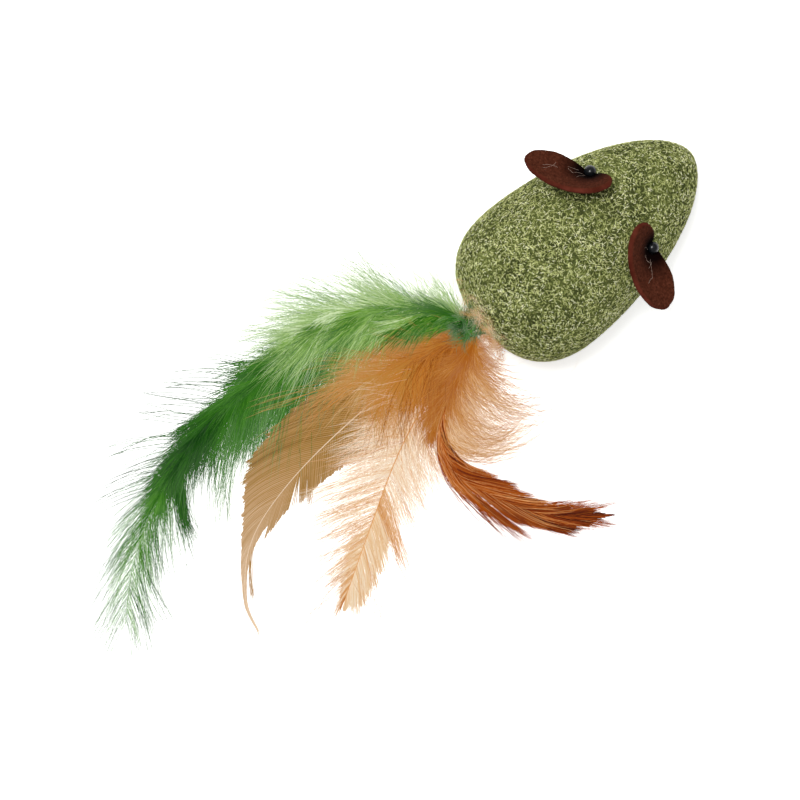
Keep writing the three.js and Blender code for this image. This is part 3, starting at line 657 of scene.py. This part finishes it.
# The rust hackle: a narrow neck feather, with a tuft of pale peach down at its root.
# Rust-dyed hackle: sleek red-brown barbs with a low sheen along them, darkest at the tip.
rust_hackle = dyed_feather("rust_dyed_hackle", {0.0: "3c0e02", 0.35: "863408", 0.7: "b25a0e", 1.0: "e0a468"},
                           (0.1, "8a4012"), 0.6, 0.05, 0.05)
chance = np.random.default_rng(26)
rust_line = feather_line(5, [(10, -5.1), (21.5, -12), (25, -19.5), (23.5, -27.5), (16, -41), (4, -51)])
rust_shades = {18: 0.58, 34: 0.42, 50: 0.3, 71: 0.16}
grow = partial(barbs, rust_line, steps=5, above=0.5, sway=1.5, uneven=0.2, tint=rust_shades)
feather_piece("rust_hackle_vane", [
    shaft(rust_line, 0.2, 0.05, 0.15),
    grow(2000, 1, {19: 7, 23: 12, 30: 14, 38: 13, 48: 12, 56: 9, 64: 4, 70: 1.2}, {19: (18, 14),
         26: (25, 19), 30: (23, 16), 38: (17, 9), 48: (14, 8), 60: (12, 6), 70: (3, 1)}, 0.07, locks=70,
         fray=1.4, uneven=0.08, mottle=0.25),
    grow(1500, -1, {36: 16, 50: 13, 56: 10, 64: 4.5, 70: 1.2}, {36: (13, 10), 50: (18, 10), 62: (9, 4),
         70: (3, 1)}, 0.07, locks=50, fray=1.4, uneven=0.1, mottle=0.25),
    grow(700, 0, {18: 12, 40: 12}, {18: (1, 6), 40: (4, 6)}, 0.07, sway=2, uneven=0.1, tint={18: 0.6,
         40: 0.4}, mottle=0.17),
    grow(620, -1, {19: 16, 28: 20, 33: 21}, {19: (0, 10), 28: (7, 14), 33: (13, 16.5)}, 0.06, locks=12,
         gather=0.4, fray=1.6, tint={19: 0.65, 34: 0.4}, mottle=0.17),
    grow(44, 0, {28: 15, 54: 12}, {28: (14, 12), 54: (10, 8)}, 0.045, above=0.9, sway=2, tint=0.85),
    grow(500, 0, {46: 13, 62: 9}, {46: (20, 9), 62: (18, 4)}, 0.034, above=0.0, locks=60, gather=0.05,
         sway=2, fray=2.5, tint=0.5),
    grow(90, -1, {22: 21, 34: 25}, {22: (8, 19), 34: (17, 20)}, 0.06, steps=6, above=0.0, locks=14,
         gather=0.3, sway=3, fray=3, tint=0.35),
], rust_hackle, "rust_hackle", ["rust_hackle"])

# Pale peach down: nearly undyed at its ends, orange at its root.
pale_down = dyed_feather("pale_peach_down", {0.0: "a85e10", 0.35: "c48638", 0.7: "deb47c", 1.0: "f2dfc2"},
                         (0.8, "f9eedf"))
chance = np.random.default_rng(17)
grow = partial(barbs, rust_line, gather=0.3, sway=11)
feather_piece("rust_hackle_root_down", [
    grow(1500, 1, {1: 10, 8: 14, 18: 9, 24: 5}, {1: (44, 96), 12: (34, 70), 24: (20, 44)}, 0.026, above=-1.0,
         lift=-4, locks=60, gather=0.2, fray=14, uneven=0.55, tint={1: 0.2, 12: 0.5, 24: 0.8}, mottle=0.16,
         fade=0.9),
    grow(1800, 1, {1: 8, 8: 6.5, 16: 4, 24: 2.5}, {1: (40, 80), 12: (30, 52), 24: (20, 40)}, 0.06,
         above=-1.0, lift=-4, locks=34, gather=0.25, fray=13, uneven=0.45, tint={1: 0.02, 12: 0.14,
         24: 0.38}, mottle=0.12, fade=0.6),
    grow(1500, -1, {1: 6, 10: 7, 24: 5}, {1: (50, 30), 24: (34, 20)}, 0.06, above=-0.2, fray=12, uneven=0.4,
         tint=0.08, fade=0.25),
    grow(600, 0, {1: 8, 16: 6}, {1: (10, 24), 16: (4, 14)}, 0.055, above=0.5, locks=16, sway=12, fray=10,
         uneven=0.35, tint=0.06, fade=0.35),
    grow(420, 1, {2: 17, 10: 20, 26: 18}, {2: (50, 104), 12: (34, 74), 26: (26, 56)}, 0.03, steps=6,
         locks=40, gather=0.15, sway=12, fray=11, tint=0.35, mottle=0.2, fade=0.5),
], pale_down, "rust_hackle")


# The fluff at the tail's root: small locks of curled down. A green tuft off the plume stands over the
# quills, and a little peach down has caught in the glue round the socket and lies on the body's end.
def curled_locks(name, centres, radius, opening, upright, looseness, count, width, material, body,
                 tint):
    """Locks of strands. A lock follows an arc in a plane near level, with a radius and an opening from their
    ranges, and its strands start and end apart on it."""
    locks, steps = len(centres), 8
    part = np.linspace(0, 1, steps)
    lock = np.arange(locks * count) // count
    each = (len(lock), 1)
    start = chance.uniform(0, 2 * np.pi, locks)[lock, None] + chance.normal(0, 0.2, each)
    arc = chance.choice([-1, 1], locks)[lock, None] * chance.uniform(*opening, locks)[lock, None]
    turn = start + arc * part * chance.uniform(0.7, 1.1, each)
    reach = chance.uniform(*radius, locks)[lock, None]
    reach = reach * (1 + chance.normal(0, 0.12, each) + 0.35 * part)
    tilt = unit(chance.normal(0, 1, (locks, 3)) * [1, 1, 0] * upright + UPWARD)[lock, None]
    level = unit(np.cross(tilt, [0.6, 0.8, 0.1]))
    spin = level * np.cos(turn)[..., None] + np.cross(tilt, level) * np.sin(turn)[..., None]
    middle = centres[lock, None] + chance.normal(0, looseness, (*each, 3))
    shift = spin[:, :1] * reach[:, :1, None]
    paths = middle + spin * reach[..., None] - shift
    radii = width / 2 * chance.uniform(0.6, 1.2, each) * (1 - 0.7 * part)
    shade = np.clip(chance.normal(tint, 0.15, locks)[lock] + chance.normal(0, 0.12, len(lock)), 0, 1)
    feather_piece(name, [strands(paths, radii, shade)], material, body)


tuft = np.stack([chance.normal(-24.5, 1.3, 70), chance.normal(2.1, 1.5, 70), chance.uniform(19, 22, 70)], -1)
curled_locks("plume_root_curls", tuft, (1.6, 3.4), (0.8, 2.1), 0.45, 0.25, 14, 0.11, green_down,
             "green_short_plume", 0.1)
bunch = np.array([-22.4, -2.6, 17.5]) + chance.normal(0, 1, (80, 3)) * [0.8, 2.6, 1.3]
curled_locks("socket_down_collar", bunch, (1.8, 4.2), (0.5, 1.4), 0.9, 0.4, 18, 0.05, pale_down,
             "mouse", 0.3)
haze, normal = egg_frame(chance.uniform(0.4, 0.62, 30), chance.normal(0.1, 0.4, 30))
haze = haze + normal * chance.uniform(0.8, 2.0, (30, 1))
curled_locks("socket_down_haze", haze, (2.0, 4.5), (0.4, 1.2), 0.9, 0.5, 18, 0.026, pale_down,
             "mouse", 0.6)


# The ears: two ovals cut from brown craft felt, each pressed to a cup at its root by the eye's stem.
# The cup is tightest at the pin and opens out, and the cut edge shows as a soft thick rim.
FELT = 1.4  # thickness between its fuzzy faces
EAR_FROM_NOSE = 21.2
EAR_ANGLE = 37.5
EAR_SWEEP = 34
CUP_FLAT = 1.4  # the cup's flat seat round the stem
CUP_EASE = 0.8  # how softly the seat runs into the slope
CUP_DEPTH = 9
CUP_OPENING = 8
CLEARANCE = 0.3
FUZZ = 0.04  # how far single fibres stand out of the felt


def ear_seat(side):
    """The pin's point on the body and its direction, square to the surface there."""
    share = (NOSE_REACH - EAR_FROM_NOSE) / NOSE_REACH
    polar = np.pi - np.arccos(share ** (NOSE_BLUNTNESS / 2))
    point, axis = egg_frame(np.array(polar), np.array(side * np.radians(EAR_ANGLE)))
    sweep = np.radians(90 + EAR_SWEEP)
    level = np.array([np.cos(sweep), side * np.sin(sweep), 0])
    out = unit(level - axis * level.dot(axis))
    return point, axis, out, side * np.cross(axis, out)


def cup_rise(reach):
    """The cup's height over the body: flat round the stem, steep beside it, and easing off outward."""
    past = ((reach - CUP_FLAT) + np.hypot(reach - CUP_FLAT, CUP_EASE)) / 2
    return CLEARANCE + CUP_DEPTH * (1 - np.exp(-past / CUP_OPENING))


def cup(side, outward, upward, height):
    """A point of the felt: outward and upward from the pin, and a height square to the cup's lower face."""
    point, axis, out, up = ear_seat(side)
    small = 0.01
    reach = np.maximum(np.hypot(outward, upward), small)
    steepness = (cup_rise(reach + small) - cup_rise(reach)) / small
    lean = height / np.hypot(1, steepness)
    shrink = np.maximum(1 - lean * steepness / reach, 0.05)
    rise = (cup_rise(reach) + lean)[..., None]
    return point + axis * rise + out * (outward * shrink)[..., None] + up * (upward * shrink)[..., None]


# Wool craft felt: matt dark chocolate, with a fuzz of fibre ends, a redder cut edge, and painted shade that
# turns it nearly black in the cup beside the pin.
felt, tree, shader = new_material("brown_craft_felt", Roughness=0.95, Specular_IOR_Level=0.03)
place = add_node(tree, "ShaderNodeTexCoord").outputs["Object"]
fibre = add_node(tree, "ShaderNodeTexNoise", {"Vector": place}, Scale=1800.0, Detail=4.0, Roughness=0.7)
blotch = add_node(tree, "ShaderNodeTexNoise", {"Vector": place}, Scale=350.0, Detail=2.0)
# edge marks the cut edge, and root is painted shade in the cup beside the pin.
edge, root = (add_node(tree, "ShaderNodeAttribute", attribute_name=mark).outputs["Fac"]
              for mark in ("edge", "root"))
face_colour = ramp(tree, fibre.outputs["Fac"], {0.3: "34150b", 0.55: "52291b", 0.8: "704030"})
rim_colour = ramp(tree, blotch.outputs["Fac"], {0.35: "4c1e14", 0.7: "683024"})
felt_mix = add_node(tree, "ShaderNodeMix", {"Factor": edge}, data_type="RGBA")
tree.links.new(face_colour, felt_mix.inputs[6])
tree.links.new(rim_colour, felt_mix.inputs[7])
# Painted shade: where root is high the felt turns nearly black, as the cup's hollow looks in shade.
cup_shade_mix = add_node(tree, "ShaderNodeMix", {"Factor": root}, data_type="RGBA")
tree.links.new(felt_mix.outputs[2], cup_shade_mix.inputs[6])
cup_shade_mix.inputs[7].default_value = linear("0c0302")
tree.links.new(cup_shade_mix.outputs[2], shader.inputs["Base Color"])
bump = add_node(tree, "ShaderNodeBump", {"Height": fibre.outputs["Fac"]}, Strength=0.8, Distance=0.0003)
tree.links.new(bump.outputs["Normal"], shader.inputs["Normal"])


def felt_ear(side, hand, middle_out, middle_up, length, width, tilt, rows=26, columns=120):
    """An oval of felt: rings from the middle of its lower face, round its cut edge, to the middle of its
    upper face. The oval's middle lies out and up from the pin, and its long axis is turned by tilt."""
    inner = np.linspace(0.04, 0.93, rows)
    turn = np.linspace(-np.pi / 2, np.pi / 2, 9)
    edge_height = FELT / 2 + FELT / 2 * np.sin(turn)
    edge_reach = 0.945 + 0.055 * np.cos(turn)
    share = np.concatenate([inner, edge_reach, inner[::-1]])[:, None]
    height = np.concatenate([np.zeros(rows), edge_height, np.full(rows, FELT)])[:, None]
    rim = np.concatenate([np.zeros(rows), np.cos(turn), np.zeros(rows)])
    angle = np.linspace(0, 2 * np.pi, columns, endpoint=False)
    ragged = 1 + 0.012 * np.sin(3 * angle + side) + 0.006 * np.sin(11 * angle)
    long_way = length / 2 * share * np.cos(angle) * ragged
    short_way = width / 2 * share * np.sin(angle) * ragged
    outward = middle_out + long_way * np.cos(tilt) - short_way * np.sin(tilt)
    upward = middle_up + long_way * np.sin(tilt) + short_way * np.cos(tilt)
    rings = cup(side, outward, upward, height + 0 * angle)
    rings = rings + unit(chance.normal(size=rings.shape)) * FUZZ
    middle = cup(side, np.full(2, middle_out), np.full(2, middle_up), np.array([0.0, FELT]))
    vertices = np.concatenate([middle[:1], rings.reshape(-1, 3), middle[1:]])
    edge = np.concatenate([[0], np.repeat(rim, columns), [0]])
    reach = np.hypot(outward, upward).ravel()
    inside = np.repeat(height.ravel() > FELT / 2, columns)
    # root is painted shade: full up to 3.6 mm from the pin, gone at 7.6 mm, and only on the upper face.
    root = np.concatenate([[0], np.clip(1.9 - reach / 4, 0, 1) * inside, [0]])
    faces = closed_grid(len(share), columns, side > 0)
    ear = place_piece(f"felt_ear_{hand}", vertices, faces, felt, f"ear_{hand}", [f"ear_{hand}"],
                      edge=edge, root=root)


felt_ear(1, "left", 3.5, 4.1, 20.6, 10.6, -0.18)
felt_ear(-1, "right", 3.0, 3.2, 21.6, 11.7, -0.46)

# White lint: a few thin pale fibres which cling to the felt.
lint_white, _, _ = new_material("white_lint", Base_Color=linear("b8a294"), Roughness=0.9)
LINT_WIDTH = 0.03


def ear_lint(side, hand, count=6, steps=12):
    """Curved fibres laid on the felt's upper face."""
    part = np.linspace(0, 1, steps)
    turn = chance.uniform(0, 2 * np.pi, (count, 1)) + chance.uniform(-1.5, 1.5, (count, 1)) * part
    stride = chance.uniform(1.5, 4.5, (count, 1)) / steps
    outward = chance.uniform(1, 8, (count, 1)) + np.cumsum(np.cos(turn) * stride, 1)
    upward = chance.uniform(0, 4, (count, 1)) + np.cumsum(np.sin(turn) * stride, 1)
    paths = cup(side, outward, upward, np.full(outward.shape, FELT + LINT_WIDTH))
    radii = np.full(paths.shape[:2], LINT_WIDTH / 2)
    vertices, faces, normals, _ = strands(paths, radii, np.zeros(count))
    lint = place_piece(f"ear_lint_{hand}", vertices, faces, lint_white, f"ear_{hand}", normals=normals)
    lint.visible_shadow = False


ear_lint(1, "left")
ear_lint(-1, "right")


# The eyes: glossy black beads on stems, which are pushed through the felt and glued in the body.
# Black acrylic bead: glossy, with faint smudges that soften its highlight.
bead, tree, shader = new_material("black_acrylic_bead", IOR=1.49, Specular_IOR_Level=0.35)
place = add_node(tree, "ShaderNodeTexCoord").outputs["Object"]
smudge = add_node(tree, "ShaderNodeTexNoise", {"Vector": place}, Scale=900.0, Detail=2.0)
tree.links.new(ramp(tree, smudge.outputs["Fac"], {0.3: "07090b", 0.8: "15181c"}), shader.inputs["Base Color"])
polish = add_node(tree, "ShaderNodeMapRange", {"Value": smudge.outputs["Fac"]}, To_Min=0.2, To_Max=0.32)
tree.links.new(polish.outputs[0], shader.inputs["Roughness"])
EYE_DIAMETER = 2.8
EYE_DOME = 1.5
EYE_FOOT = 0.45  # height of the foot under the dome
EYE_LIP = 0.2  # upright rim between them
STEM_DIAMETER = 1.6
STEM_LENGTH = 8
STEM_CHAMFER = 0.4


def bead_eye(side, hand):
    """A profile turned round the pin: the stem's end, its shank, the dome's foot on the felt and the dome."""
    point, axis, out, _ = ear_seat(side)
    head, stem = EYE_DIAMETER / 2, STEM_DIAMETER / 2
    under = CLEARANCE + FELT + CLEARANCE
    end = under - STEM_LENGTH
    foot = under + EYE_FOOT
    turn = np.linspace(0, np.pi / 2, 16)[:-1]
    radius = [stem * 0.6, stem, stem, stem, head * 0.88, *(head * np.cos(turn))]
    dome = foot + EYE_LIP + (EYE_DOME - EYE_LIP) * np.sin(turn)
    height = [end, end + STEM_CHAMFER, 0, under, foot, *dome]
    spokes = 40
    angle = np.linspace(0, 2 * np.pi, spokes, endpoint=False)
    spoke = out * np.cos(angle)[:, None] + np.cross(axis, out) * np.sin(angle)[:, None]
    rings = point + axis * np.array(height)[:, None, None] + spoke * np.array(radius)[:, None, None]
    ends = point + axis * np.array([[end], [foot + EYE_DOME]])
    vertices = np.concatenate([ends[:1], rings.reshape(-1, 3), ends[1:]])
    faces = closed_grid(len(radius), spokes, True)
    eye = place_piece(f"bead_eye_{hand}", vertices, faces, bead, "mouse", [f"eye_{hand}"])


bead_eye(1, "left")
bead_eye(-1, "right")


# The studio: a white table under one large soft lamp, seen from straight above.
# White table: plain matt white. To the camera and in reflections it is lifted to paper white, and shadows
# still show.
white, tree, shader = new_material("white_studio_table", Base_Color=linear("f4f4f4"), Roughness=1.0,
                                   Specular_IOR_Level=0.0)
path = add_node(tree, "ShaderNodeLightPath")
seen = path.outputs["Is Camera Ray"]
for ray in ("Is Glossy Ray", "Is Transmission Ray"):
    seen = add_node(tree, "ShaderNodeMath", {0: seen, 1: path.outputs[ray]}, operation="MAXIMUM").outputs[0]
lift = add_node(tree, "ShaderNodeEmission", Color=linear("ffffff"), Strength=0.6)
lifted = add_node(tree, "ShaderNodeAddShader", {0: shader.outputs[0], 1: lift.outputs[0]})
table_mix = add_node(tree, "ShaderNodeMixShader", {0: seen, 1: shader.outputs[0], 2: lifted.outputs[0]})
tree.links.new(table_mix.outputs[0], tree.nodes["Material Output"].inputs["Surface"])
TABLE_REACH = 2.0  # metres, as all sizes are from here on
TABLE_GAP = 0.0002  # under the belly, so that the two faces stay apart
mesh = bpy.data.meshes.new("studio_table")
corners = [(x * TABLE_REACH, y * TABLE_REACH, 0) for x, y in ((-1, -1), (1, -1), (1, 1), (-1, 1))]
mesh.from_pydata(corners, [], [(0, 1, 2, 3)])
mesh.materials.append(white)
table = add_object("studio_table", mesh)
table.location = (0, 0, -TABLE_GAP)

world = bpy.data.worlds.new("studio_world")
world.use_nodes = True
bpy.context.scene.world = world
sky = world.node_tree.nodes["Background"]
sky.inputs["Color"].default_value = (1, 1, 1, 1)
sky.inputs["Strength"].default_value = 0.4

# The picture's right and up directions on the table: the mouse's nose points up and to the right.
ROLL = np.radians(39.28)
RIGHT = np.array([np.cos(ROLL), -np.sin(ROLL), 0])
UP = np.array([np.sin(ROLL), np.cos(ROLL), 0])


def aim(thing, place, target, up):
    """Points a camera or a lamp from a place to a target, both in metres, with its top towards up."""
    back = unit(place - target)
    right = unit(np.cross(up, back))
    turn = np.eye(4)
    turn[:3] = np.stack([right, np.cross(back, right), back, place], 1)
    thing.matrix_world = Matrix(turn.tolist())


lamp_data = bpy.data.lights.new("softbox", "AREA")
lamp_data.shape = "SQUARE"
lamp_data.size = 0.35
lamp_data.energy = 9.5
lamp = add_object("softbox", lamp_data)
lit_place = np.array([-0.04, 0, 0])
LAMP_HEIGHT = 1.1
beside = UP * 0.22 - RIGHT * 0.12  # towards the picture's top and left
aim(lamp, lit_place + [0, 0, LAMP_HEIGHT] + beside, lit_place, UP)

camera_data = bpy.data.cameras.new("camera")
camera = add_object("camera", camera_data)
CAMERA_HEIGHT = 2.2
PICTURE_WIDTH = 0.1766  # at the height of the view's centre
view_centre = np.array([-0.0464, -0.0016, 0.015])
camera_data.sensor_width = 36
camera_data.lens = camera_data.sensor_width * CAMERA_HEIGHT / PICTURE_WIDTH
camera_data.clip_start = 0.01
camera_data.clip_end = 10
aim(camera, view_centre + [0, 0, CAMERA_HEIGHT], view_centre, UP)
bpy.context.scene.camera = camera
bpy.context.scene.view_settings.view_transform = "Standard"
